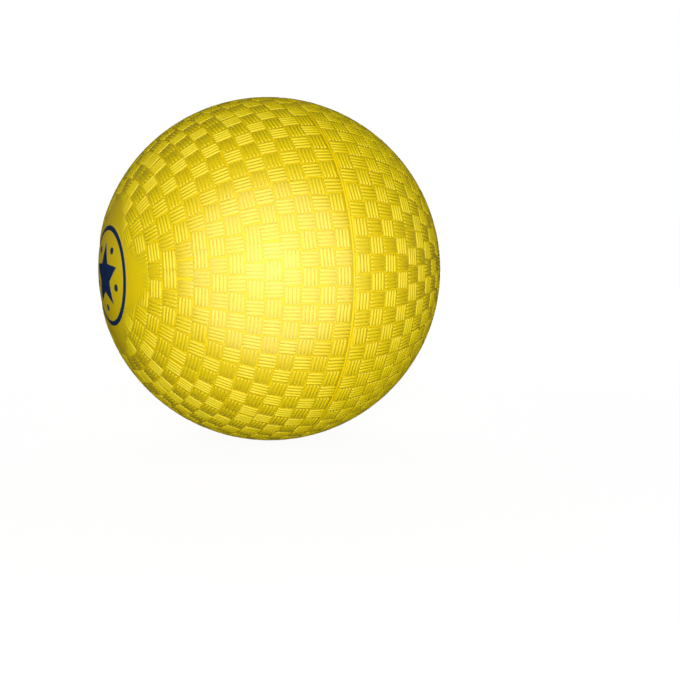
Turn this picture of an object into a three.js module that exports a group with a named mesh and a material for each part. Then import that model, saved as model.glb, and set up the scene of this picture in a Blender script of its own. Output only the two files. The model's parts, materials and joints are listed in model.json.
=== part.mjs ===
// Soft play ball: a small two-ply rubber playground ball with a needle valve.
// Millimetres, +Z up. The origin is the ball's centre, and the mould axis lies along X:
// the print patch is at the -X pole and the valve at the +X pole.

import * as THREE from 'three';

// Driving dimensions of the two plies
const BALL_DIAMETER = 127;
const COVER_WALL = 1.6;
const BLADDER_WALL = 1.0;
const PLY_GAP = 0.3;
const PARTING_GAP = 0.3;

// Driving dimensions of the print patch, a shallow smooth recess in the cover
const PRINT_PATCH_DIAMETER = 53;
const PRINT_PATCH_DEPTH = 0.3;
const PRINT_PATCH_RAMP = 1.2;

// Driving dimensions of the valve
const VALVE_RECESS = 0.5;
const VALVE_CLEARANCE = 0.3;
const NECK_DIAMETER = 12;
const FLANGE_DIAMETER = 28;
const FLANGE_THICKNESS = 1.6;
const HOUSING_LENGTH = 18;
const STEM_DIAMETER = 11;
const PLUG_HEAD_DIAMETER = 8.4;
const PLUG_HEAD_THICKNESS = 1.8;
const PLUG_SHANK_DIAMETER = 6;
const PLUG_LENGTH = 17;
const NEEDLE_FUNNEL_DIAMETER = 3.2;
const NEEDLE_FUNNEL_DEPTH = 2.4;
const NEEDLE_CHANNEL_DIAMETER = 0.8;

// Facets: every shell takes the same steps, so that the gap between two plies stays even
const TURN_SEGMENTS = 48;
const ARC_STEPS = 12;
const VALVE_SEGMENTS = 32;
const FLANGE_STEPS = 4;

// Radii that follow from the dimensions
const COVER_OUTER = BALL_DIAMETER / 2;
const COVER_INNER = COVER_OUTER - COVER_WALL;
const BLADDER_OUTER = COVER_INNER - PLY_GAP;
const BLADDER_INNER = BLADDER_OUTER - BLADDER_WALL;
const FLANGE_OUTER = BLADDER_INNER - PLY_GAP;
const VALVE_HOLE_RADIUS = NECK_DIAMETER / 2 + VALVE_CLEARANCE;
const VALVE_FACE_X = COVER_OUTER - VALVE_RECESS;

const MATERIALS = {
  cover: new THREE.MeshStandardMaterial({ color: 0xf7d515, roughness: 0.48, metalness: 0 }),
  bladder: new THREE.MeshStandardMaterial({ color: 0x33312f, roughness: 0.7, metalness: 0 }),
  housing: new THREE.MeshStandardMaterial({ color: 0x1f1f20, roughness: 0.55, metalness: 0 }),
  plug: new THREE.MeshStandardMaterial({ color: 0x2a2a2c, roughness: 0.6, metalness: 0 }),
};

// Height along the mould axis of a sphere's point that lies at a distance from the axis
function heightAt(sphereRadius, axisDistance) {
  return Math.sqrt(sphereRadius ** 2 - axisDistance ** 2);
}

// Points along a sphere's profile between two distances from the axis, on the + side of the axis
function arc(sphereRadius, fromDistance, toDistance, steps) {
  const from = Math.asin(fromDistance / sphereRadius);
  const to = Math.asin(toDistance / sphereRadius);
  return Array.from({ length: steps + 1 }, (_, step) => {
    const angle = from + ((to - from) * step) / steps;
    return new THREE.Vector2(sphereRadius * Math.sin(angle), sphereRadius * Math.cos(angle));
  });
}

// A profile mirrored to the - side of the mould axis, run backwards so that its faces still point out
function mirrored(profile) {
  return profile.map((point) => new THREE.Vector2(point.x, -point.y)).reverse();
}

// A solid of revolution about the mould axis
function turned(name, profile, material, segments) {
  const geometry = new THREE.LatheGeometry(profile, segments);
  geometry.rotateZ(-Math.PI / 2);
  const mesh = new THREE.Mesh(geometry, material);
  mesh.name = name;
  return mesh;
}

// A closed loop of profile points
function loop(...points) {
  return [...points, points[0].clone()];
}

// Distance from the axis at which a sphere meets the parting face of its half
function rimDistance(sphereRadius) {
  return heightAt(sphereRadius, PARTING_GAP / 2);
}

// The half shell behind the print: closed at its pole
function printHalf(outerRadius, innerRadius) {
  const inner = arc(innerRadius, 0, rimDistance(innerRadius), ARC_STEPS);
  const outer = arc(outerRadius, rimDistance(outerRadius), 0, ARC_STEPS);
  return mirrored([...inner, ...outer]);
}

// The half shell round the valve: open at its pole for the valve's neck
function valveHalf(outerRadius, innerRadius) {
  const outer = arc(outerRadius, rimDistance(outerRadius), VALVE_HOLE_RADIUS, ARC_STEPS);
  const inner = arc(innerRadius, VALVE_HOLE_RADIUS, rimDistance(innerRadius), ARC_STEPS);
  return loop(...outer, ...inner);
}

// The cover's print half, with the smooth patch let into its pole
function coverPrintHalf() {
  const patchRadius = PRINT_PATCH_DIAMETER / 2;
  const patchSphere = COVER_OUTER - PRINT_PATCH_DEPTH;
  const inner = arc(COVER_INNER, 0, rimDistance(COVER_INNER), ARC_STEPS);
  const outer = arc(COVER_OUTER, rimDistance(COVER_OUTER), patchRadius, ARC_STEPS);
  const patch = arc(patchSphere, patchRadius - PRINT_PATCH_RAMP, 0, FLANGE_STEPS);
  return mirrored([...inner, ...outer, ...patch]);
}

// The valve housing: a neck through both plies, a flange bonded under the bladder and a stem
function valveHousing() {
  const neckRadius = NECK_DIAMETER / 2;
  const stemRadius = STEM_DIAMETER / 2;
  const flangeRadius = FLANGE_DIAMETER / 2;
  const flangeUnder = FLANGE_OUTER - FLANGE_THICKNESS;
  const boreRadius = PLUG_SHANK_DIAMETER / 2 + VALVE_CLEARANCE;
  const seatRadius = PLUG_HEAD_DIAMETER / 2 + VALVE_CLEARANCE;
  const seatX = VALVE_FACE_X - PLUG_HEAD_THICKNESS - VALVE_CLEARANCE;
  const innerEndX = VALVE_FACE_X - HOUSING_LENGTH;
  return loop(
    new THREE.Vector2(boreRadius, innerEndX),
    new THREE.Vector2(stemRadius, innerEndX),
    ...arc(flangeUnder, stemRadius, flangeRadius, FLANGE_STEPS),
    ...arc(FLANGE_OUTER, flangeRadius, neckRadius, FLANGE_STEPS),
    new THREE.Vector2(neckRadius, VALVE_FACE_X),
    new THREE.Vector2(seatRadius, VALVE_FACE_X),
    new THREE.Vector2(seatRadius, seatX),
    new THREE.Vector2(boreRadius, seatX),
  );
}

// The valve plug: a flat head, a shank in the housing's bore and a fine channel for the needle
function valvePlug() {
  const headRadius = PLUG_HEAD_DIAMETER / 2;
  const shankRadius = PLUG_SHANK_DIAMETER / 2;
  const funnelRadius = NEEDLE_FUNNEL_DIAMETER / 2;
  const channelRadius = NEEDLE_CHANNEL_DIAMETER / 2;
  const headUnderX = VALVE_FACE_X - PLUG_HEAD_THICKNESS;
  const innerEndX = VALVE_FACE_X - PLUG_LENGTH;
  return loop(
    new THREE.Vector2(channelRadius, innerEndX),
    new THREE.Vector2(shankRadius, innerEndX),
    new THREE.Vector2(shankRadius, headUnderX),
    new THREE.Vector2(headRadius, headUnderX),
    new THREE.Vector2(headRadius, VALVE_FACE_X),
    new THREE.Vector2(funnelRadius, VALVE_FACE_X),
    new THREE.Vector2(channelRadius, VALVE_FACE_X - NEEDLE_FUNNEL_DEPTH),
  );
}

const ball = new THREE.Group();
ball.name = 'soft_play_ball';
ball.add(
  turned('cover_print_half', coverPrintHalf(), MATERIALS.cover, TURN_SEGMENTS),
  turned('cover_valve_half', valveHalf(COVER_OUTER, COVER_INNER), MATERIALS.cover, TURN_SEGMENTS),
  turned('bladder_print_half', printHalf(BLADDER_OUTER, BLADDER_INNER), MATERIALS.bladder, TURN_SEGMENTS),
  turned('bladder_valve_half', valveHalf(BLADDER_OUTER, BLADDER_INNER), MATERIALS.bladder, TURN_SEGMENTS),
  turned('valve_housing', valveHousing(), MATERIALS.housing, VALVE_SEGMENTS),
  turned('valve_plug', valvePlug(), MATERIALS.plug, VALVE_SEGMENTS),
);

export default ball;
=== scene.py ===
"""Looks of a soft play ball: a small yellow playground ball of moulded rubber.

The cover has a basket weave of raised ribs, a parting line round its middle, a smooth print patch at
one pole and a needle valve at the other. Sizes are in metres in the part's own frame: +X runs from the
print to the valve, +Z is up.
"""

import json
import logging
import math
import random
from collections.abc import Iterable, Sequence
from dataclasses import dataclass
from enum import Enum
from typing import Any

import bmesh
import bpy
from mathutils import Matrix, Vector

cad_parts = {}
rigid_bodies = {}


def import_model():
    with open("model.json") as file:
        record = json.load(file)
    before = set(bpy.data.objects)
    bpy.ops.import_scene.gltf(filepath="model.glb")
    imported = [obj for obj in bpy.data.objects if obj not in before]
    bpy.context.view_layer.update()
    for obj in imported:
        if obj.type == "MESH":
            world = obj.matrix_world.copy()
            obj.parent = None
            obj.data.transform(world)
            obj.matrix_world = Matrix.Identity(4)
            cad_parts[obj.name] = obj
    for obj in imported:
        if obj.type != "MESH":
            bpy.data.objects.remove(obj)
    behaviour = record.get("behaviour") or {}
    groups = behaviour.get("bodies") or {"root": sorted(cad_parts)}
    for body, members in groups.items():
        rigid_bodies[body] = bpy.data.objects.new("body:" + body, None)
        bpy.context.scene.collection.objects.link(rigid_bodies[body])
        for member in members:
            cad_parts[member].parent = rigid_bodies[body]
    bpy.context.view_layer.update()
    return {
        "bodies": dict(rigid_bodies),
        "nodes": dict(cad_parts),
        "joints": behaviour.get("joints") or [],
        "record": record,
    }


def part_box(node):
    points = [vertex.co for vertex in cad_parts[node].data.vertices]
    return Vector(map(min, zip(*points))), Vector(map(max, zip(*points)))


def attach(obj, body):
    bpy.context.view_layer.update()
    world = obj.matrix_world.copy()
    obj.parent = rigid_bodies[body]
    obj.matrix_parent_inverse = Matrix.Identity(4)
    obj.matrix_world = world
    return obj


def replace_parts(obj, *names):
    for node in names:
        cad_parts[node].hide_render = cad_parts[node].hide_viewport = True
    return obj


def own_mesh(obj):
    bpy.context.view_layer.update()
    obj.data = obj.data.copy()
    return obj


LOG = logging.getLogger("soft_play_ball")

MM = 0.001
SEED = 1430
WHITE = (1.0, 1.0, 1.0, 1.0)

# Angles this near a pole lie on it, and points this near each other are one
POLE_TOLERANCE = 1e-9
WELD_DISTANCE = 1e-7

# The photograph's frame, the ball's centre in it, and the ball's radius as seen straight ahead
IMAGE_SIZE_PX = 680
BALL_CENTRE_PX = (271.0, 271.0)
BALL_RADIUS_PX = 170.4

# Names of the attributes that the weave carries from its layout to its finish
RIB_WAY = "rib_way"
STRETCH = "stretch"
RISE = "rise"
TINT = "tint"

# The types of node used most, and the numbers of a Mix node's sockets for two colours and their mix
MATH = "ShaderNodeMath"
VECTOR_MATH = "ShaderNodeVectorMath"
MAP_RANGE = "ShaderNodeMapRange"
NOISE = "ShaderNodeTexNoise"
NAMED_ATTRIBUTE = "GeometryNodeInputNamedAttribute"
MIX_FIRST, MIX_SECOND, MIX_RESULT = 6, 7, 2

Point = tuple[float, float]
Span = tuple[float, float]
Mesh = bpy.types.Mesh
Piece = bpy.types.Object
Finish = bpy.types.Material
Tree = bpy.types.NodeTree
Node = bpy.types.Node
Socket = bpy.types.NodeSocket


class Half(Enum):
    """The two halves of the mould, by the sign of their pole along X."""

    PRINT = -1.0
    VALVE = 1.0


class RibWay(Enum):
    """Which way the ribs of one block of the weave run."""

    ALONG_RING = 0
    ALONG_MERIDIAN = 1

    def crossed(self) -> "RibWay":
        """The way a neighbouring block's ribs run."""
        return RibWay.ALONG_MERIDIAN if self is RibWay.ALONG_RING else RibWay.ALONG_RING


def linear(colour: str) -> tuple[float, float, float, float]:
    """Turn an sRGB hex colour to linear.

    Args:
        colour: six hex digits after a hash mark.

    Returns:
        Linear red, green, blue and a full alpha.
    """
    channels = [int(colour[at:at + 2], 16) / 255 for at in (1, 3, 5)]
    red, green, blue = (c / 12.92 if c <= 0.04045 else ((c + 0.055) / 1.055) ** 2.4 for c in channels)
    return red, green, blue, 1.0


def add_node(tree: Tree, kind: str, inputs: dict[Any, Any] | Sequence[Any] = (), **settings: Any) -> Any:
    """Add a node with its settings, and set or link its inputs.

    Args:
        tree: the node tree.
        kind: the node's type name.
        inputs: a value, an output socket or a node for each input, by its name or number, or in order. A
            node stands for its first output.
        settings: the node's own properties.

    Returns:
        The new node.
    """
    node = tree.nodes.new(kind)
    for name, value in settings.items():
        setattr(node, name, value)
    for key, value in inputs.items() if isinstance(inputs, dict) else enumerate(inputs):
        source = value.outputs[0] if isinstance(value, Node) else value
        if isinstance(source, Socket):
            tree.links.new(source, node.inputs[key])
        else:
            node.inputs[key].default_value = source
    return node


def blank_material(name: str) -> tuple[Finish, Tree]:
    """Make a material whose node tree is empty.

    Args:
        name: the material's name.

    Returns:
        The material and its tree.
    """
    material = bpy.data.materials.new(name)
    material.use_nodes = True
    material.node_tree.nodes.clear()
    return material, material.node_tree


def link_object(name: str, data: Any, material: Finish | None = None) -> Piece:
    """Put a mesh, lamp or camera in the scene as an object at the origin.

    Args:
        name: the object's name.
        data: what it holds.
        material: a mesh's finish, where it has none yet.

    Returns:
        The object.
    """
    made = bpy.data.objects.new(name, data)
    bpy.context.scene.collection.objects.link(made)
    if material:
        data.materials.append(material)
    return made


def mesh_of(name: str, points: Sequence[Vector], faces: Iterable[Sequence[int]], crisp: int = 0) -> Mesh:
    """Make a closed, smooth-shaded mesh whose faces point out.

    Args:
        name: the mesh's name.
        points: its vertices.
        faces: vertex numbers of each face.
        crisp: how many of the last faces have crisp edges.

    Returns:
        The mesh.
    """
    mesh = bpy.data.meshes.new(name)
    mesh.from_pydata([tuple(p) for p in points], [], [tuple(f) for f in faces])
    shape = bmesh.new()
    shape.from_mesh(mesh)
    bmesh.ops.recalc_face_normals(shape, faces=shape.faces)
    for face in shape.faces:
        face.smooth = True
    for face in list(shape.faces)[len(shape.faces) - crisp:]:
        for edge in face.edges:
            edge.smooth = False
    shape.to_mesh(mesh)
    shape.free()
    return mesh


def turned_piece(name: str, profile: Sequence[Point], segments: int, material: Finish) -> Piece:
    """Make a closed piece by turning a profile about the X axis.

    Args:
        name: the piece's name.
        profile: (distance from the axis, place along the axis) of each point round the section, with
            distance 0 on the axis.
        segments: steps round the axis.
        material: the piece's finish.

    Returns:
        The piece.
    """
    points: list[Vector] = []
    rings: list[list[int]] = []
    for distance, along in profile:
        first = len(points)
        if distance == 0:
            points.append(Vector((along, 0, 0)))
            rings.append([first] * segments)
            continue
        for step in range(segments):
            angle = math.tau * step / segments
            points.append(Vector((along, distance * math.cos(angle), distance * math.sin(angle))))
        rings.append(list(range(first, first + segments)))
    open_on_axis = profile[0][0] == 0 and profile[-1][0] == 0
    pairs = list(zip(rings, rings[1:])) + ([] if open_on_axis else [(rings[-1], rings[0])])
    faces = []
    for low, high in pairs:
        for step in range(segments):
            after = (step + 1) % segments
            faces.append(list(dict.fromkeys((low[step], low[after], high[after], high[step]))))
    return link_object(name, mesh_of(name, points, [f for f in faces if len(f) > 2]), material)


def arc(radius: float, start: float, end: float, steps: int) -> list[Point]:
    """Points of a sphere's profile between two angles from the mould axis.

    Args:
        radius: the sphere's radius.
        start: first angle from the +X pole.
        end: last angle from the +X pole.
        steps: number of steps between them.

    Returns:
        Points as (distance from the axis, place along the axis), with the poles exactly on the axis.
    """
    made = []
    for step in range(steps + 1):
        angle = start + (end - start) * step / steps
        on_pole = any(math.isclose(angle, pole, abs_tol=POLE_TOLERANCE) for pole in (0, math.pi))
        made.append((0.0 if on_pole else radius * math.sin(angle), radius * math.cos(angle)))
    return made


def rounded(corners: Sequence[tuple[float, float, float]], steps: int = 3) -> list[Point]:
    """Round the corners of a closed profile.

    Args:
        corners: (distance from the axis, place along the axis, rounding radius) of each corner.
        steps: steps of each rounding.

    Returns:
        The profile's points, with a quadratic curve at each rounded corner.
    """
    made: list[Point] = []
    for number, (distance, along, radius) in enumerate(corners):
        here = Vector((distance, along))
        if radius == 0:
            made.append((distance, along))
            continue
        before = Vector(corners[number - 1][:2]) - here
        after = Vector(corners[(number + 1) % len(corners)][:2]) - here
        start, end = here + before.normalized() * radius, here + after.normalized() * radius
        for step in range(steps + 1):
            share = step / steps
            at = start * (1 - share) ** 2 + here * 2 * share * (1 - share) + end * share ** 2
            made.append((at.x, at.y))
    return made


@dataclass(frozen=True)
class MouldedRubber:
    """Vulcanised rubber pressed in a steel mould.

    The eye sees an even, saturated colour with a soft sheen, a wider and paler one from the wax that
    blooms on new rubber, and a fine grain from the mould's face, drawn coarse enough to show. Where it
    has relief, light and shade are painted into the colour: the flanks are painted paler than the crests
    as painted light, and the foot of each groove is painted darker as painted shade.
    The wax has a higher IOR than real wax, so that its sheen shows face on and stays weak at glancing
    angles.
    """

    name: str
    crest_colour: str
    # On a weave the flank colour is painted light, paler so that the rib flanks read brighter; elsewhere it
    # is a random second tone
    flank_colour: str
    roughness: float
    # Painted shade: the darker colour painted at the foot of each groove, where shade falls
    groove_shade_colour: str = ""
    ior: float = 1.5
    specular: float = 0.5
    chalk: float = 0.0
    wax: float = 0.0
    wax_roughness: float = 0.3
    wax_ior: float = 2.4
    grain_mm: float = 0.5
    grain_depth_mm: float = 0.02
    grain_strength: float = 0.35
    grain_roughness: float = 0.05
    grain_range: Span = (0.3, 0.7)
    cloud_mm: float = 22.0
    cloud_range: Span = (0.35, 0.65)
    least_crest_share: float = 0.8
    crest_rise: float = 0.35
    groove_rise: float = 0.42
    groove_wax: float = 0.75

    def build(self) -> Finish:
        """Make the material.

        Returns:
            A node material on Object coordinates, and on the weave's own attributes where the piece has
            them.
        """
        material, tree = blank_material(self.name)
        place = add_node(tree, "ShaderNodeTexCoord").outputs["Object"]
        clouds = add_node(tree, NOISE, {
            "Vector": place, "Scale": 1 / (self.cloud_mm * MM), "Detail": 3.0, "Roughness": 0.55})
        grain = add_node(tree, NOISE, {
            "Vector": place, "Scale": 1 / (self.grain_mm * MM), "Detail": 2.0, "Roughness": 0.6})
        share = add_node(tree, MAP_RANGE, (clouds, *self.cloud_range, self.least_crest_share, 1.0))
        spread = (self.roughness - self.grain_roughness, self.roughness + self.grain_roughness)
        rough = add_node(tree, MAP_RANGE, (grain, *self.grain_range, *spread))
        bump = add_node(tree, "ShaderNodeBump", {
            "Height": grain, "Strength": self.grain_strength, "Distance": self.grain_depth_mm * MM})
        shader = add_node(tree, "ShaderNodeBsdfPrincipled", {
            "Base Color": self._colour(tree, share), "Roughness": rough, "Normal": bump,
            "Diffuse Roughness": self.chalk, "IOR": self.ior, "Specular IOR Level": self.specular,
            "Coat Weight": self.wax, "Coat Roughness": self.wax_roughness, "Coat IOR": self.wax_ior})
        if self.wax:
            self._lay_wax(tree, shader, place)
        add_node(tree, "ShaderNodeOutputMaterial", {"Surface": shader})
        return material

    def _lay_wax(self, tree: Tree, shader: Node, place: Socket) -> None:
        """Let the wax lie smooth over the ribs: its sheen follows the ball, thinner in the grooves.

        Args:
            tree: the material's tree.
            shader: the rubber's shader.
            place: Object coordinates, whose origin is the ball's centre.
        """
        out = add_node(tree, VECTOR_MATH, (place,), operation="NORMALIZE")
        facing = add_node(tree, "ShaderNodeVectorTransform", (out,), vector_type="NORMAL",
                          convert_from="OBJECT", convert_to="WORLD")
        tree.links.new(facing.outputs[0], shader.inputs["Coat Normal"])
        if self.groove_shade_colour:
            rise = add_node(tree, "ShaderNodeAttribute", attribute_name=RISE).outputs["Fac"]
            weights = (self.groove_wax * self.wax, self.wax)
            weight = add_node(tree, MAP_RANGE, (rise, 0.0, self.groove_rise, *weights))
            tree.links.new(weight.outputs[0], shader.inputs["Coat Weight"])

    def _colour(self, tree: Tree, share: Node) -> Socket:
        """Mix the colour, on a weave by each point's rise in the relief and by its block's own tint. On a
        weave the flanks are painted paler, as painted light, and the foot of each groove darker, as painted
        shade.

        Args:
            tree: the material's tree.
            share: share of the crest colour from the clouds.

        Returns:
            The colour.
        """
        ends = {MIX_FIRST: linear(self.flank_colour), MIX_SECOND: linear(self.crest_colour)}
        if not self.groove_shade_colour:
            plain = add_node(tree, "ShaderNodeMix", {"Factor": share, **ends}, data_type="RGBA")
            return plain.outputs[MIX_RESULT]
        rise = add_node(tree, "ShaderNodeAttribute", attribute_name=RISE).outputs["Fac"]
        tint = add_node(tree, "ShaderNodeAttribute", attribute_name=TINT).outputs["Fac"]
        # Painted light: low on the ribs the paler flank colour is mixed in, so that the flanks read brighter
        crest = add_node(tree, MAP_RANGE, (rise, self.crest_rise, 1.0, 0.0, 1.0))
        both = add_node(tree, MATH, (share, crest), operation="MULTIPLY")
        own = add_node(tree, MATH, (both, tint), operation="ADD")
        flank = add_node(tree, "ShaderNodeMix", {"Factor": own, **ends}, data_type="RGBA")
        # Painted shade: below groove_rise the foot of each groove takes the darker groove colour
        clear = add_node(tree, MAP_RANGE, (rise, 0.0, self.groove_rise), interpolation_type="SMOOTHSTEP")
        mixed = add_node(tree, "ShaderNodeMix", {
            "Factor": clear, MIX_FIRST: linear(self.groove_shade_colour), MIX_SECOND: flank.outputs[MIX_RESULT]},
            data_type="RGBA")
        return mixed.outputs[MIX_RESULT]


@dataclass(frozen=True)
class PrintInk:
    """Pad-printed ink on rubber: a thin dark film with a slightly uneven gloss and pinholes of wear."""

    name: str
    colour: str
    worn_colour: str
    roughness: float
    roughness_spread: float = 0.08
    worn_share: float = 0.6
    worn_range: Span = (0.45, 0.8)
    mottle_mm: float = 3.0
    relief_mm: float = 0.02
    relief_strength: float = 0.2

    def build(self) -> Finish:
        """Make the material.

        Returns:
            A node material on Object coordinates.
        """
        material, tree = blank_material(self.name)
        place = add_node(tree, "ShaderNodeTexCoord").outputs["Object"]
        mottle = add_node(tree, NOISE, {
            "Vector": place, "Scale": 1 / (self.mottle_mm * MM), "Detail": 4.0, "Roughness": 0.65})
        share = add_node(tree, MAP_RANGE, (mottle, *self.worn_range, 0.0, self.worn_share))
        colour = add_node(tree, "ShaderNodeMix", {
            "Factor": share, MIX_FIRST: linear(self.colour), MIX_SECOND: linear(self.worn_colour)},
            data_type="RGBA")
        spread = (self.roughness - self.roughness_spread, self.roughness + self.roughness_spread)
        rough = add_node(tree, MAP_RANGE, (mottle, 0.0, 1.0, *spread))
        bump = add_node(tree, "ShaderNodeBump", {
            "Height": mottle, "Strength": self.relief_strength, "Distance": self.relief_mm * MM})
        shader = add_node(tree, "ShaderNodeBsdfPrincipled", {
            "Base Color": colour.outputs[MIX_RESULT], "Roughness": rough, "Normal": bump})
        add_node(tree, "ShaderNodeOutputMaterial", {"Surface": shader})
        return material


@dataclass(frozen=True)
class BallFinishes:
    """The finishes of the ball's pieces, built once."""

    weave: Finish
    skin: Finish
    bladder: Finish
    housing: Finish
    plug: Finish
    ink: Finish

    @classmethod
    def build(cls) -> "BallFinishes":
        """Make every finish.

        Returns:
            The finishes.
        """
        # The deep yellow is painted shade for the grooves' feet; the pale yellow is painted light on the
        # weave's flanks and a random tone on the skin
        yellow, pale_yellow, groove_shade_yellow = "#F7DA01", "#F9E701", "#976F00"
        weave = MouldedRubber("yellow_moulded_rubber_weave", yellow, pale_yellow, 0.28, groove_shade_yellow,
                              specular=0.46, chalk=0.05, wax=0.62)
        skin = MouldedRubber("yellow_moulded_rubber_skin", "#F9D900", pale_yellow, 0.4,
                             specular=0.14, chalk=0.05, wax=0.25)
        return cls(
            weave=weave.build(),
            skin=skin.build(),
            bladder=MouldedRubber("dark_sheet_rubber", "#3A3836", "#262422", 0.68, grain_mm=0.8).build(),
            housing=MouldedRubber("black_moulded_rubber", "#222224", "#141415", 0.52).build(),
            plug=MouldedRubber("soft_black_rubber", "#2E2E31", "#1B1B1D", 0.6, grain_mm=0.35).build(),
            ink=PrintInk("navy_pad_print_ink", "#0B2C5E", "#1C447C", 0.42).build(),
        )


@dataclass
class BallFrame:
    """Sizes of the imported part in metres: those that its boxes and joints give, and its two walls."""

    radius: float
    bladder_outer: float
    parting_gap: float
    valve_hole: float
    squeeze_travel: float
    cover_wall: float = 1.6 * MM
    bladder_wall: float = 1.0 * MM

    @classmethod
    def measure(cls, frame: dict[str, Any]) -> "BallFrame":
        """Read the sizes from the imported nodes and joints.


        Returns:
            The sizes.
        """
        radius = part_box("cover_print_half")[1].y
        cover_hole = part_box("cover_valve_half")[1].x
        return cls(
            radius=radius,
            bladder_outer=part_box("bladder_print_half")[1].y,
            parting_gap=2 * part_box("cover_valve_half")[0].x,
            valve_hole=math.sqrt(radius ** 2 - cover_hole ** 2),
            squeeze_travel=next(j["range_m"][1] for j in frame["joints"] if j["name"] == "squeeze"),
        )

    def rim(self, half: Half) -> float:
        """Angle from the +X pole at which a half's rim lies, half the parting gap off the middle."""
        return math.pi / 2 - half.value * (self.parting_gap / 2 / self.radius)


@dataclass(frozen=True)
class WeaveBlock:
    """One block of parallel ribs: its place on the ball, its width and the way that its ribs run."""

    latitude: float
    longitude: float
    width: float
    way: RibWay


@dataclass
class WeaveLayout:
    """Lays the blocks of a basket weave on one half of the ball, in rings about the mould axis.

    A ring keeps the count of the ring below until its blocks get too narrow, and then takes fewer. Each
    block's ribs cross those of the block below it, so where the count drops two like blocks meet, as on a
    real mould.
    """

    half: Half
    radius: float
    bare_pole_angle: float
    matched_longitude: float = math.radians(40.5)
    block_pitch: float = 5.8 * MM
    widest_block: float = 6.03 * MM
    narrowest_block: float = 5.6 * MM
    parting_strip: float = 0.62 * MM
    first_way: RibWay = RibWay.ALONG_MERIDIAN

    def rings(self) -> list[list[WeaveBlock]]:
        """Work out every ring from the parting line to the bare pole.

        Returns:
            The rings, each a list of blocks in order of longitude.
        """
        step = self.block_pitch / self.radius
        latitude = self.parting_strip / self.radius + step / 2
        made: list[list[WeaveBlock]] = []
        count = 0
        while latitude < math.pi / 2 - self.bare_pole_angle:
            girth = math.tau * self.radius * math.cos(latitude)
            if not count or girth / count < self.narrowest_block:
                count = round(girth / self.widest_block)
            made.append(self._ring(latitude, girth / count, count, made[-1] if made else None))
            latitude += step
        return made

    def _ring(self, latitude: float, width: float, count: int,
              below: list[WeaveBlock] | None) -> list[WeaveBlock]:
        """Lay one ring of blocks.

        Args:
            latitude: the ring's angle from the parting plane.
            width: a block's width along the ring.
            count: the number of blocks.
            below: the ring nearer the parting line, if any.

        Returns:
            The ring's blocks.
        """
        ring: list[WeaveBlock] = []
        for number in range(count):
            turn = math.tau * number / count
            if below is None:
                way = self.first_way if number % 2 == 0 else self.first_way.crossed()
            else:
                way = below[round(number * len(below) / count) % len(below)].way.crossed()
            ring.append(WeaveBlock(latitude, self.matched_longitude + turn, width, way))
        return ring

    def directions(self, block: WeaveBlock) -> tuple[Vector, Vector, Vector]:
        """A block's directions on the ball.

        Args:
            block: the block.

        Returns:
            Unit vectors out of the ball, along the ring and along the meridian to the pole.
        """
        facing = Vector((0, -math.cos(block.longitude), math.sin(block.longitude)))
        pole = Vector((self.half.value, 0, 0))
        out = facing * math.cos(block.latitude) + pole * math.sin(block.latitude)
        to_pole = pole * math.cos(block.latitude) - facing * math.sin(block.latitude)
        return out, to_pole.cross(out), to_pole


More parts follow.
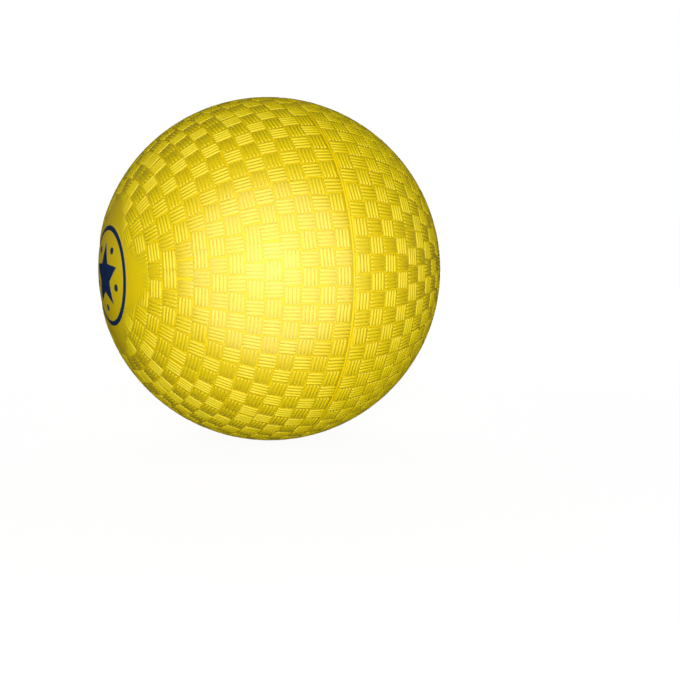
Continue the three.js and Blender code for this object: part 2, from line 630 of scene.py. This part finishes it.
@dataclass
class BasketWeave:
    """The raised basket weave of one half of the cover, one small rib repeated by Geometry Nodes.

    rib_section holds points across a rib as shares of its half width and its height. rib_end holds
    stations from a rib's tip inwards as shares of its half length, width and height.
    """

    layout: WeaveLayout
    base_radius: float
    rib_height: float
    bare_angle: float
    bare_lobe: float
    fade_angle: float
    lobes: int = 4
    ribs_per_block: int = 4
    rib_length_share: float = 1.06
    stack_share: float = 0.84
    foot_depth: float = 0.08 * MM
    unevenness: float = 0.14
    wear_patch: float = 2.6 * MM
    wear_range: Span = (0.25, 0.75)
    place_jitter: float = 0.07 * MM
    turn_jitter: float = math.radians(1.2)
    tint_spread: float = 0.07
    rib_section: Sequence[Point] = (
        (-1.0, 0.0), (-0.72, 0.6), (-0.24, 1.0), (0.24, 1.0), (0.72, 0.6), (1.0, 0.0))
    rib_end: Sequence[tuple[float, float, float]] = ((1.0, 0.5, 0.1), (0.91, 0.85, 0.72), (0.74, 1.0, 1.0))

    @property
    def rib_length(self) -> float:
        """Length of one rib in a square block."""
        return self.layout.block_pitch * self.rib_length_share

    @property
    def rib_spacing(self) -> float:
        """Distance between neighbouring ribs in a square block."""
        return self.layout.block_pitch * self.stack_share / self.ribs_per_block

    def build(self, name: str, material: Finish) -> Piece:
        """Make this half's weave as one plain mesh.

        Args:
            name: the piece's name.
            material: its finish.

        Returns:
            The piece.
        """
        rib = link_object(f"{name}_rib", self._rib_mesh())
        weave = link_object(name, self._layout_mesh(name))
        tree, values = self._tree(rib, material)
        modifier = weave.modifiers.new("weave", "NODES")
        modifier.node_group = tree
        for socket, value in values.items():
            modifier[socket] = value
        depsgraph = bpy.context.evaluated_depsgraph_get()
        mesh = bpy.data.meshes.new_from_object(
            weave.evaluated_get(depsgraph), preserve_all_data_layers=True, depsgraph=depsgraph)
        weave.modifiers.clear()
        weave.data = mesh
        mesh.name = name
        bpy.data.objects.remove(rib)
        return weave

    def _rib_mesh(self) -> Mesh:
        """Make one rib along X: a long rounded bead with drawn-down ends, closed under the cover's surface.

        Returns:
            The rib, with the rise of each point as an attribute.
        """
        half_length, half_width = self.rib_length / 2, self.rib_spacing / 2
        stations = [(-along, wide, high) for along, wide, high in self.rib_end] + list(reversed(self.rib_end))
        points, rises = [], []
        for along, width_share, height_share in stations:
            for side, up in self.rib_section:
                height = (self.rib_height + self.foot_depth) * up * height_share - self.foot_depth
                points.append(Vector((along * half_length, side * half_width * width_share, height)))
                rises.append(height / self.rib_height)
        across, last = len(self.rib_section), len(points)
        faces = [
            (row + at, row + at + 1, row + across + at + 1, row + across + at)
            for row in range(0, last - across, across) for at in range(across - 1)
        ]
        foot = list(range(0, last, across)) + list(range(last - 1, 0, -across))
        ends_and_foot = [tuple(range(across)), tuple(range(last - across, last)), tuple(foot)]
        mesh = mesh_of("rib", points, faces + ends_and_foot, crisp=len(ends_and_foot))
        mesh.attributes.new(RISE, "FLOAT", "POINT").data.foreach_set("value", rises)
        return mesh

    def _layout_mesh(self, name: str) -> Mesh:
        """Set points at the blocks' centres, each a little off its place and turn.

        Args:
            name: the piece's name, which seeds the small differences.

        Returns:
            The points, with each block's rib direction, stretch and tint as attributes.
        """
        draw = random.Random(f"{SEED} {name}")
        points, ways, stretches, tints = [], [], [], []
        reach = self.layout.block_pitch / self.layout.radius
        for block in (b for ring in self.layout.rings() for b in ring):
            out, along_ring, to_pole = self.layout.directions(block)
            bare = self.bare_angle + self.bare_lobe * math.cos(self.lobes * block.longitude)
            if math.pi / 2 - block.latitude < bare - reach:
                continue
            ring_share = block.width / self.layout.block_pitch
            on_ring = block.way is RibWay.ALONG_RING
            way, side = (along_ring, to_pole) if on_ring else (to_pole, along_ring)
            turn = draw.gauss(0, self.turn_jitter)
            shift = along_ring * draw.gauss(0, self.place_jitter) + to_pole * draw.gauss(0, self.place_jitter)
            points.append(out * self.base_radius + shift)
            ways.extend(way * math.cos(turn) + side * math.sin(turn))
            stretches.extend((ring_share, 1.0, 1.0) if on_ring else (1.0, ring_share, 1.0))
            tints.append(draw.gauss(0, self.tint_spread))
        mesh = bpy.data.meshes.new(f"{name}_layout")
        mesh.from_pydata([tuple(p) for p in points], [], [])
        mesh.attributes.new(RIB_WAY, "FLOAT_VECTOR", "POINT").data.foreach_set("vector", ways)
        mesh.attributes.new(STRETCH, "FLOAT_VECTOR", "POINT").data.foreach_set("vector", stretches)
        mesh.attributes.new(TINT, "FLOAT", "POINT").data.foreach_set("value", tints)
        return mesh

    def _tree(self, rib: Piece, material: Finish) -> tuple[Tree, dict[str, Any]]:
        """Build the node tree that sets the ribs in each block and the blocks on the ball.

        Args:
            rib: the rib that is repeated.
            material: the weave's finish.

        Returns:
            A Geometry Nodes tree whose sizes are named inputs, and the value of each by its socket.
        """
        tree = bpy.data.node_groups.new("basket_weave", "GeometryNodeTree")
        sizes = (
            ("Geometry", "Geometry", None),
            ("Rib", "Object", rib),
            ("Ribs per Block", "Int", self.ribs_per_block),
            ("Rib Spacing", "Float", self.rib_spacing),
            ("Rib Height", "Float", self.rib_height),
            ("Base Radius", "Float", self.base_radius),
            ("Foot Depth", "Float", self.foot_depth),
            ("Pole", "Vector", (self.layout.half.value, 0.0, 0.0)),
            ("Bare Angle", "Float", self.bare_angle),
            ("Bare Lobe", "Float", self.bare_lobe),
            ("Fade Angle", "Float", self.fade_angle),
            ("Unevenness", "Float", self.unevenness),
            ("Material", "Material", material),
        )
        values = {}
        for name, kind, value in sizes:
            socket = tree.interface.new_socket(name=name, in_out="INPUT", socket_type=f"NodeSocket{kind}")
            if value is not None:
                values[socket.identifier] = value
        tree.interface.new_socket(name="Geometry", in_out="OUTPUT", socket_type="NodeSocketGeometry")
        given = add_node(tree, "NodeGroupInput").outputs
        shaped = self._wrap_on_ball(tree, given, self._set_blocks(tree, given))
        smooth = add_node(tree, "GeometryNodeSetShadeSmooth", {"Geometry": shaped})
        dressed = add_node(tree, "GeometryNodeSetMaterial", {
            "Geometry": smooth, "Material": given["Material"]})
        add_node(tree, "NodeGroupOutput", {"Geometry": dressed})
        return tree, values

    def _set_blocks(self, tree: Tree, given: Any) -> Node:
        """Repeat the rib across a block and the block on every layout point.

        Args:
            tree: the tree.
            given: the tree's inputs.

        Returns:
            The realised ribs.
        """
        rib = add_node(tree, "GeometryNodeObjectInfo", {"Object": given["Rib"]})
        fewer = add_node(tree, MATH, (given["Ribs per Block"], 1.0), operation="SUBTRACT")
        spread = add_node(tree, MATH, (fewer, given["Rib Spacing"]), operation="MULTIPLY")
        start = add_node(tree, MATH, (spread, -0.5), operation="MULTIPLY")
        first = add_node(tree, "ShaderNodeCombineXYZ", {"Y": start})
        step = add_node(tree, "ShaderNodeCombineXYZ", {"Y": given["Rib Spacing"]})
        line = add_node(tree, "GeometryNodeMeshLine", {
            "Count": given["Ribs per Block"], "Start Location": first, "Offset": step})
        block = add_node(tree, "GeometryNodeInstanceOnPoints", {
            "Points": line, "Instance": rib.outputs["Geometry"]})
        place = add_node(tree, "GeometryNodeInputPosition")
        way = add_node(tree, NAMED_ATTRIBUTE, {"Name": RIB_WAY}, data_type="FLOAT_VECTOR")
        stretch = add_node(tree, NAMED_ATTRIBUTE, {"Name": STRETCH}, data_type="FLOAT_VECTOR")
        turn = add_node(tree, "FunctionNodeAxesToRotation", {
            "Primary Axis": place, "Secondary Axis": way}, primary_axis="Z", secondary_axis="X")
        blocks = add_node(tree, "GeometryNodeInstanceOnPoints", {
            "Points": given["Geometry"], "Instance": block, "Rotation": turn, "Scale": stretch})
        return add_node(tree, "GeometryNodeRealizeInstances", {"Geometry": blocks})

    def _wrap_on_ball(self, tree: Tree, given: Any, woven: Node) -> Node:
        """Set each point of the ribs on the ball at its own rise, and sink the ribs near the pole.

        Args:
            tree: the tree.
            given: the tree's inputs.
            woven: the realised ribs.

        Returns:
            The shaped weave.
        """
        place = add_node(tree, "GeometryNodeInputPosition")
        out = add_node(tree, VECTOR_MATH, (place,), operation="NORMALIZE")
        facing = add_node(tree, VECTOR_MATH, (out, given["Pole"]), operation="DOT_PRODUCT")
        angle = add_node(tree, MATH, (facing.outputs["Value"],), operation="ARCCOSINE")
        bare = self._bare_border(tree, given, out)
        full = add_node(tree, MATH, (bare, given["Fade Angle"]), operation="ADD")
        fade = add_node(tree, MAP_RANGE, (angle, bare, full), interpolation_type="SMOOTHSTEP")
        rise = add_node(tree, NAMED_ATTRIBUTE, {"Name": RISE}, data_type="FLOAT")
        worn = add_node(tree, NOISE, {"Vector": place, "Scale": 1 / self.wear_patch, "Detail": 1.0})
        uneven = add_node(tree, MAP_RANGE, (worn, *self.wear_range, 0.0, 1.0))
        loss = add_node(tree, MATH, (uneven, given["Unevenness"]), operation="MULTIPLY")
        left = add_node(tree, MATH, (1.0, loss), operation="SUBTRACT")
        share = add_node(tree, MATH, (left, fade), operation="MULTIPLY")
        height = add_node(tree, MATH, (rise, given["Rib Height"]), operation="MULTIPLY")
        lift = add_node(tree, MATH, (height, share), operation="MULTIPLY")
        hidden = add_node(tree, MATH, (1.0, fade), operation="SUBTRACT")
        sink = add_node(tree, MATH, (hidden, given["Foot Depth"]), operation="MULTIPLY")
        raised = add_node(tree, MATH, (given["Base Radius"], lift), operation="ADD")
        reach = add_node(tree, MATH, (raised, sink), operation="SUBTRACT")
        moved = add_node(tree, VECTOR_MATH, {0: out, "Scale": reach}, operation="SCALE")
        return add_node(tree, "GeometryNodeSetPosition", {"Geometry": woven, "Position": moved})

    def _bare_border(self, tree: Tree, given: Any, out: Node) -> Node:
        """Find the angle from the pole at which the bare patch ends, with lobes round the pole.

        Args:
            tree: the tree.
            given: the tree's inputs.
            out: the direction from the ball's centre.

        Returns:
            The border's angle in this direction.
        """
        apart = add_node(tree, "ShaderNodeSeparateXYZ", (out,)).outputs
        turn = add_node(tree, MATH, (apart["Z"], apart["Y"]), operation="ARCTAN2")
        waves = add_node(tree, MATH, (turn, float(self.lobes)), operation="MULTIPLY")
        wave = add_node(tree, MATH, (waves,), operation="COSINE")
        lobe = add_node(tree, MATH, (wave, given["Bare Lobe"]), operation="MULTIPLY")
        return add_node(tree, MATH, (given["Bare Angle"], lobe), operation="ADD")


@dataclass
class Cover:
    """The moulded cover: two half shells, their weave and the bead along the parting line.

    bead_shoulder is a point of the bead's section, as shares of its half width and its height.
    """

    frame: BallFrame
    rib_height: float = 0.56 * MM
    print_bare_radius: float = 20.0 * MM
    print_bare_lobe: float = 4.6 * MM
    print_fade: float = 9.0 * MM
    valve_bare_radius: float = 11.0 * MM
    valve_fade: float = 2.9 * MM
    valve_half_turn: float = math.radians(3.4)
    hole_rounding: float = 0.5 * MM
    hole_steps: int = 6
    bead_width: float = 0.9 * MM
    bead_height: float = 0.24 * MM
    bead_shoulder: Point = (0.6, 0.7)
    segments: int = 192
    arc_steps: int = 56

    @property
    def base_radius(self) -> float:
        """Radius of the smooth surface that the ribs stand on."""
        return self.frame.radius - self.rib_height

    @property
    def inner_radius(self) -> float:
        """Radius of the cover's inner face."""
        return self.frame.radius - self.frame.cover_wall

    def build(self, finishes: BallFinishes) -> list[Piece]:
        """Make the cover's pieces.

        Args:
            finishes: the ball's finishes.

        Returns:
            The skin and the weave of the print half, those of the valve half, and the bead.
        """
        rim = self.frame.rim(Half.PRINT)
        closed = (arc(self.base_radius, math.pi, rim, self.arc_steps)
                  + arc(self.inner_radius, rim, math.pi, self.arc_steps))
        made = []
        for half, profile in ((Half.PRINT, closed), (Half.VALVE, self._valve_profile())):
            word = half.name.lower()
            skin = turned_piece(f"cover_{word}_skin", profile, self.segments, finishes.skin)
            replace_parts(skin, f"cover_{word}_half")
            weave = self._weave(half).build(f"cover_{word}_weave", finishes.weave)
            made += [skin, weave]
        bead = turned_piece("parting_bead", self._bead_profile(), 2 * self.segments, finishes.skin)
        return made + [bead]

    def _weave(self, half: Half) -> BasketWeave:
        """Set up the weave of one half.

        Args:
            half: which half.

        Returns:
            The weave, ready to build.
        """
        radius = self.frame.radius
        if half is Half.PRINT:
            bare, lobe, fade = self.print_bare_radius, self.print_bare_lobe, self.print_fade
        else:
            bare, lobe, fade = self.valve_bare_radius, 0.0, self.valve_fade
        layout = WeaveLayout(half, radius, bare_pole_angle=bare / radius - lobe / radius)
        layout.bare_pole_angle -= layout.block_pitch / radius
        if half is Half.VALVE:
            layout.matched_longitude += self.valve_half_turn
        return BasketWeave(
            layout, self.base_radius, self.rib_height, bare / radius, lobe / radius, fade / radius)

    def _valve_profile(self) -> list[Point]:
        """Draw the section of the half shell with a rounded hole at the valve's pole.

        Returns:
            The section's points.
        """
        rim, inner = self.frame.rim(Half.VALVE), self.inner_radius
        hole, soft = self.frame.valve_hole, self.hole_rounding
        outer = arc(self.base_radius, rim, math.asin((hole + soft) / self.base_radius), self.arc_steps)
        top = outer[-1][1]
        turns = [math.pi / 2 * step / self.hole_steps for step in range(1, self.hole_steps + 1)]
        lip = [(hole + soft * (1 - math.sin(turn)), top - soft * (1 - math.cos(turn))) for turn in turns]
        return outer + lip + arc(inner, math.asin(hole / inner), rim, self.arc_steps)

    def _bead_profile(self) -> list[Point]:
        """Draw the section of the fine ridge that the mould leaves on the parting line.

        Returns:
            The section's points.
        """
        foot = self.base_radius - self.frame.cover_wall / 2
        half_width = self.bead_width / 2
        side, rise = self.bead_shoulder
        flank = [(foot, half_width), (self.base_radius, half_width),
                 (self.base_radius + rise * self.bead_height, side * half_width)]
        crest = (self.base_radius + self.bead_height, 0.0)
        return flank + [crest] + [(distance, -along) for distance, along in reversed(flank)]


@dataclass
class Bladder:
    """The air-tight inner ply, in two halves that follow the cover."""

    frame: BallFrame
    segments: int = 96
    arc_steps: int = 24

    def build(self, finishes: BallFinishes) -> list[Piece]:
        """Make both halves.

        Args:
            finishes: the ball's finishes.

        Returns:
            The print half and the valve half.
        """
        outer, inner = self.frame.bladder_outer, self.frame.bladder_outer - self.frame.bladder_wall
        rim = self.frame.rim(Half.PRINT)
        closed = arc(outer, math.pi, rim, self.arc_steps) + arc(inner, rim, math.pi, self.arc_steps)
        rim, hole = self.frame.rim(Half.VALVE), self.frame.valve_hole
        pierced = (arc(outer, rim, math.asin(hole / outer), self.arc_steps)
                   + arc(inner, math.asin(hole / inner), rim, self.arc_steps))
        made = []
        for word, profile in (("print", closed), ("valve", pierced)):
            ply = turned_piece(f"bladder_{word}_ply", profile, self.segments, finishes.bladder)
            made.append(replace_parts(ply, f"bladder_{word}_half"))
        return made


@dataclass
class Valve:
    """The needle valve: a flanged rubber housing and the soft plug in its bore."""

    face_x: float = 63.0 * MM
    clearance: float = 0.3 * MM
    neck_radius: float = 6.0 * MM
    flange_radius: float = 14.0 * MM
    flange_sphere: float = 60.3 * MM
    flange_thickness: float = 1.6 * MM
    housing_length: float = 18.0 * MM
    stem_radius: float = 5.5 * MM
    head_radius: float = 4.2 * MM
    head_thickness: float = 1.8 * MM
    shank_radius: float = 3.0 * MM
    plug_length: float = 17.0 * MM
    funnel_radius: float = 1.6 * MM
    funnel_depth: float = 2.4 * MM
    channel_radius: float = 0.4 * MM
    edge: float = 0.35 * MM
    segments: int = 96

    def build(self, finishes: BallFinishes) -> list[Piece]:
        """Make the housing and the plug.

        Args:
            finishes: the ball's finishes.

        Returns:
            The housing and the plug.
        """
        parts = (("valve_housing", self._housing(), finishes.housing),
                 ("valve_plug", self._plug(), finishes.plug))
        made = []
        for node, profile, material in parts:
            piece = turned_piece(f"{node}_body", profile, self.segments, material)
            made.append(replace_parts(piece, node))
        return made

    def _flange_x(self, sphere: float, distance: float) -> float:
        """Place along the axis of a sphere's point at a distance from the axis."""
        return math.sqrt(sphere ** 2 - distance ** 2)

    def _housing(self) -> list[Point]:
        """Draw the section of the housing: neck, flange, stem, bore and the plug's seat.

        Returns:
            The section's points.
        """
        under = self.flange_sphere - self.flange_thickness
        bore, seat = self.shank_radius + self.clearance, self.head_radius + self.clearance
        seat_x = self.face_x - self.head_thickness - self.clearance
        end_x = self.face_x - self.housing_length
        return rounded([
            (bore, end_x, self.edge),
            (self.stem_radius, end_x, 2 * self.edge),
            (self.stem_radius, self._flange_x(under, self.stem_radius), 2 * self.edge),
            (self.flange_radius, self._flange_x(under, self.flange_radius), self.edge),
            (self.flange_radius, self._flange_x(self.flange_sphere, self.flange_radius), self.edge),
            (self.neck_radius, self._flange_x(self.flange_sphere, self.neck_radius), 0),
            (self.neck_radius, self.face_x, self.edge),
            (seat, self.face_x, self.edge),
            (seat, seat_x, 0),
            (bore, seat_x, self.edge),
        ])

    def _plug(self) -> list[Point]:
        """Draw the section of the plug: head, shank, needle funnel and channel.

        Returns:
            The section's points.
        """
        head_under = self.face_x - self.head_thickness
        end_x = self.face_x - self.plug_length
        return rounded([
            (self.channel_radius, end_x, 0),
            (self.shank_radius, end_x, 2 * self.edge),
            (self.shank_radius, head_under, 0),
            (self.head_radius, head_under, self.edge / 2),
            (self.head_radius, self.face_x, self.edge),
            (self.funnel_radius, self.face_x, self.edge),
            (self.channel_radius, self.face_x - self.funnel_depth, 0),
        ])


@dataclass
class PrintMotif:
    """A generic printed badge on the smooth patch: a ring, a five-pointed star and a dot between its arms."""

    surface_radius: float
    ring_radius: float = 17.5 * MM
    ring_width: float = 1.7 * MM
    ring_points: int = 160
    star_radius: float = 11.5 * MM
    star_waist: float = 0.46
    star_edge_steps: int = 12
    dot_radius: float = 1.25 * MM
    dot_distance: float = 11.0 * MM
    dot_points: int = 32
    film: float = 0.05 * MM
    film_steps: int = 6
    bite: float = 0.15 * MM
    arms: int = 5

    def build(self, material: Finish) -> Piece:
        """Make the print as one piece of closed films.

        Args:
            material: the ink.

        Returns:
            The piece.
        """
        points: list[Vector] = []
        faces: list[Sequence[int]] = []
        for inner, outer in self._outlines():
            self._add_film(points, faces, inner, outer)
        mesh = mesh_of("print_motif", points, faces)
        shape = bmesh.new()
        shape.from_mesh(mesh)
        bmesh.ops.remove_doubles(shape, verts=shape.verts, dist=WELD_DISTANCE)
        bmesh.ops.recalc_face_normals(shape, faces=shape.faces)
        shape.to_mesh(mesh)
        shape.free()
        return link_object("print_motif", mesh, material)

    def _outlines(self) -> list[tuple[list[Point], list[Point]]]:
        """Draw the design flat.

        Returns:
            The inner and outer outline of each film, where a filled shape's inner one is its centre.
        """
        middle = (0.0, 0.0)
        star = self._star()
        made = [
            (self._circle(middle, self.ring_radius - self.ring_width, self.ring_points),
             self._circle(middle, self.ring_radius, self.ring_points)),
            ([middle] * len(star), star),
        ]
        for arm in range(self.arms):
            angle = math.tau * (arm + 0.5) / self.arms + math.pi / 2
            centre = (self.dot_distance * math.cos(angle), self.dot_distance * math.sin(angle))
            dot = self._circle(centre, self.dot_radius, self.dot_points)
            made.append(([centre] * len(dot), dot))
        return made

    def _circle(self, centre: Point, radius: float, count: int) -> list[Point]:
        """Points round a circle on the patch."""
        turns = [math.tau * step / count for step in range(count)]
        return [(centre[0] + radius * math.cos(t), centre[1] + radius * math.sin(t)) for t in turns]

    def _star(self) -> list[Point]:
        """Draw the star, with steps on each edge.

        Returns:
            Points round the star.
        """
        tips = []
        for corner in range(2 * self.arms):
            reach = self.star_radius * (1 if corner % 2 == 0 else self.star_waist)
            angle = math.pi / 2 + math.pi * corner / self.arms
            tips.append(Vector((reach * math.cos(angle), reach * math.sin(angle))))
        steps = self.star_edge_steps
        edges = zip(tips, tips[1:] + tips[:1])
        return [tuple(a.lerp(b, step / steps)) for a, b in edges for step in range(steps)]

    def _on_patch(self, at: Point, lift: float) -> Vector:
        """Wrap a flat point of the design on the print's pole.

        Args:
            at: the flat point.
            lift: its height above the surface.

        Returns:
            The point on the ball.
        """
        reach = math.hypot(*at)
        angle = reach / self.surface_radius
        side, up = (at[0] / reach, at[1] / reach) if reach else (0.0, 0.0)
        out = Vector((-math.cos(angle), -math.sin(angle) * side, math.sin(angle) * up))
        return out * (self.surface_radius + lift)

    def _add_film(self, points: list[Vector], faces: list[Sequence[int]], inner: list[Point],
                  outer: list[Point]) -> None:
        """Add one closed film between two outlines.

        Args:
            points: vertices so far.
            faces: faces so far.
            inner: inner outline, or one repeated centre.
            outer: outer outline with as many points.
        """
        count, first, steps = len(outer), len(points), self.film_steps
        for lift in (self.film, -self.bite):
            for step in range(steps + 1):
                row = [Vector(a).lerp(Vector(b), step / steps) for a, b in zip(inner, outer)]
                points.extend(self._on_patch((p.x, p.y), lift) for p in row)
        order = list(range(steps + 1)) + list(range(2 * steps + 1, steps, -1))
        for low, high in zip(order, order[1:] + order[:1]):
            for step in range(count):
                after = (step + 1) % count
                faces.append((first + low * count + step, first + low * count + after,
                              first + high * count + after, first + high * count + step))


class LampUse(Enum):
    """What a lamp lights: the colour alone, as through a polariser, or the sheen alone, as a white card."""

    COLOUR = (True, False)
    SHEEN = (False, True)


@dataclass(frozen=True)
class StudioLamp:
    """A round soft lamp that faces the ball, placed from the camera's own direction."""

    name: str
    turn_deg: float
    rise_deg: float
    distance: float
    size: float
    power: float
    use: LampUse


@dataclass
class Studio:
    """The camera at the photograph's angle, the lamps, the white floor and the world."""

    frame: BallFrame
    azimuth_deg: float = -25.0
    elevation_deg: float = 4.0
    distance_radii: float = 5.5
    sensor_mm: float = 36.0
    nearest: float = 0.01
    furthest: float = 50.0
    lamps: Sequence[StudioLamp] = (
        StudioLamp("key_lamp", 0, 1, distance=0.45, size=0.3, power=2.0, use=LampUse.COLOUR),
        StudioLamp("sheen_lamp", 0, 0, distance=0.45, size=1.15, power=5.1, use=LampUse.SHEEN),
        StudioLamp("rear_lamp", 180, 0, distance=0.6, size=1.2, power=7.9, use=LampUse.COLOUR),
        StudioLamp("left_lamp", -125, 0, distance=0.6, size=0.8, power=0.5, use=LampUse.COLOUR),
        StudioLamp("right_lamp", 125, 0, distance=0.6, size=0.8, power=0.5, use=LampUse.COLOUR),
    )
    ambient: float = 0.01
    mirrored_white: float = 0.006
    floor_size: float = 12.0
    floor_colour: str = "#5C5C5C"
    floor_fade: Span = (0.15, 0.55)
    floor_white: Span = (0.94, 1.0)

    def build(self) -> None:
        """Make the camera, lamps, floor and world."""
        self._camera()
        for lamp in self.lamps:
            self._light(lamp)
        self._floor()
        self._world()
        bpy.context.scene.view_settings.view_transform = "Standard"

    def _toward(self, azimuth_deg: float, elevation_deg: float) -> Vector:
        """Unit vector from the ball to a place at an azimuth and an elevation."""
        turn, rise = math.radians(azimuth_deg), math.radians(elevation_deg)
        return Vector((math.sin(turn) * math.cos(rise), -math.cos(turn) * math.cos(rise), math.sin(rise)))

    def _camera(self) -> None:
        """Make the camera, aimed so that the ball lies in the frame where the photograph has it."""
        focal_px = BALL_RADIUS_PX * math.sqrt(self.distance_radii ** 2 - 1)
        data = bpy.data.cameras.new("photo_camera")
        data.sensor_width = self.sensor_mm
        data.lens = self.sensor_mm * focal_px / IMAGE_SIZE_PX
        data.clip_start, data.clip_end = self.nearest, self.furthest
        camera = link_object("photo_camera", data)
        back = self._toward(self.azimuth_deg, self.elevation_deg)
        middle = IMAGE_SIZE_PX / 2
        ball_px = Vector((BALL_CENTRE_PX[0] - middle, middle - BALL_CENTRE_PX[1], -focal_px))
        aim = ball_px.normalized().rotation_difference(Vector((0, 0, -1)))
        camera.location = back * self.distance_radii * self.frame.radius
        camera.rotation_mode = "QUATERNION"
        camera.rotation_quaternion = (-back).to_track_quat("-Z", "Y") @ aim
        bpy.context.scene.camera = camera

    def _light(self, lamp: StudioLamp) -> None:
        """Make one lamp, out of the camera's sight.

        Args:
            lamp: the lamp.
        """
        data = bpy.data.lights.new(lamp.name, "AREA")
        data.shape, data.size, data.energy = "DISK", lamp.size, lamp.power
        made = link_object(lamp.name, data)
        toward = self._toward(self.azimuth_deg + lamp.turn_deg, self.elevation_deg + lamp.rise_deg)
        made.location = toward * lamp.distance
        made.rotation_euler = (-toward).to_track_quat("-Z", "Y").to_euler()
        made.visible_camera = False
        made.visible_diffuse, made.visible_glossy = lamp.use.value

    def _seen(self, tree: Tree) -> Node:
        """Find which rays show the background: straight, through glass and, dimmer, mirrored.

        Args:
            tree: the floor's or the world's tree.

        Returns:
            The share of white for the ray.
        """
        path = add_node(tree, "ShaderNodeLightPath").outputs
        straight = add_node(tree, MATH, (path["Is Camera Ray"], path["Is Transmission Ray"]),
                            operation="MAXIMUM")
        mirrored = add_node(tree, MATH, (path["Is Glossy Ray"], self.mirrored_white), operation="MULTIPLY")
        return add_node(tree, MATH, (straight, mirrored), operation="MAXIMUM")

    def _floor(self) -> None:
        """Make the white floor: it glows to the eye, keeps the ball's shadow and stands in no lamp's way."""
        half, low = self.floor_size / 2, -self.frame.radius
        corners = [(x, y, low) for x, y in ((-half, -half), (half, -half), (half, half), (-half, half))]
        mesh = bpy.data.meshes.new("floor")
        mesh.from_pydata(corners, [], [(0, 1, 2, 3)])
        floor = link_object("floor", mesh)
        material, tree = blank_material("white_studio_floor")
        matte = add_node(tree, "ShaderNodeBsdfDiffuse", {"Color": linear(self.floor_colour)})
        glow = add_node(tree, "ShaderNodeEmission", {"Color": WHITE, "Strength": self._floor_glow(tree)})
        both = add_node(tree, "ShaderNodeAddShader", (matte, glow))
        add_node(tree, "ShaderNodeOutputMaterial", {"Surface": both})
        mesh.materials.append(material)
        floor.visible_glossy = floor.visible_shadow = False

    def _floor_glow(self, tree: Tree) -> Node:
        """Let the floor glow under white near the ball, where its shadow shows, and white further out.

        Args:
            tree: the floor's tree.

        Returns:
            The glow's strength.
        """
        place = add_node(tree, "ShaderNodeTexCoord").outputs["Object"]
        reach = add_node(tree, VECTOR_MATH, (place,), operation="LENGTH").outputs["Value"]
        white = add_node(tree, MAP_RANGE, (reach, *self.floor_fade, *self.floor_white),
                         interpolation_type="SMOOTHSTEP")
        return add_node(tree, MATH, (self._seen(tree), white), operation="MULTIPLY")

    def _world(self) -> None:
        """Make the world white to the eye and dim as a light."""
        world = bpy.data.worlds.new("studio")
        bpy.context.scene.world = world
        world.use_nodes = True
        tree = world.node_tree
        tree.nodes.clear()
        strength = add_node(tree, MAP_RANGE, (self._seen(tree), 0.0, 1.0, self.ambient, 1.0))
        glow = add_node(tree, "ShaderNodeBackground", {"Color": WHITE, "Strength": strength})
        add_node(tree, "ShaderNodeOutputWorld", {"Surface": glow})


class SoftPlayBall:
    """The whole ball: builds every piece in order and ties it to its body."""

    BALL, VALVE, PLUG = "ball", "valve", "plug"

    def __init__(self, frame: BallFrame, finishes: BallFinishes) -> None:
        """Keep the frame's sizes and the finishes."""
        self.frame = frame
        self.finishes = finishes

    def build(self) -> None:
        """Make the cover, print, bladder and valve, and tie each piece to its body."""
        cover = Cover(self.frame)
        print_skin, print_weave, valve_skin, valve_weave, bead = cover.build(self.finishes)
        motif = PrintMotif(cover.base_radius).build(self.finishes.ink)
        bladder_print, bladder_valve = Bladder(self.frame).build(self.finishes)
        housing, plug = Valve().build(self.finishes)
        for piece in (print_skin, print_weave, bead):
            self._tie(piece, self.BALL)
        self._tie(motif, self.BALL)
        self._tie(bladder_print, self.BALL)
        for piece, slot in ((valve_skin, "cover_rubber"), (valve_weave, "cover_rubber"),
                            (bladder_valve, "bladder_rubber")):
            self._tie(piece, self.BALL)
            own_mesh(piece)
        self._tie(housing, self.VALVE)
        self._tie(plug, self.PLUG)

    def _tie(self, piece: Piece, body: str) -> None:
        """Let a piece ride on a body and report it.

        Args:
            piece: the piece.
            body: the body's name.
        """
        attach(piece, body)
        LOG.info("%s rides on %s: %d faces", piece.name, body, len(piece.data.polygons))


def main() -> None:
    """Build the dressed ball and its studio."""
    logging.basicConfig(level=logging.INFO, format="%(name)s: %(message)s")
    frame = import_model()
    sizes = BallFrame.measure(frame)
    Studio(sizes).build()
    SoftPlayBall(sizes, BallFinishes.build()).build()
    bpy.context.view_layer.update()


if __name__ == "__main__":
    main()
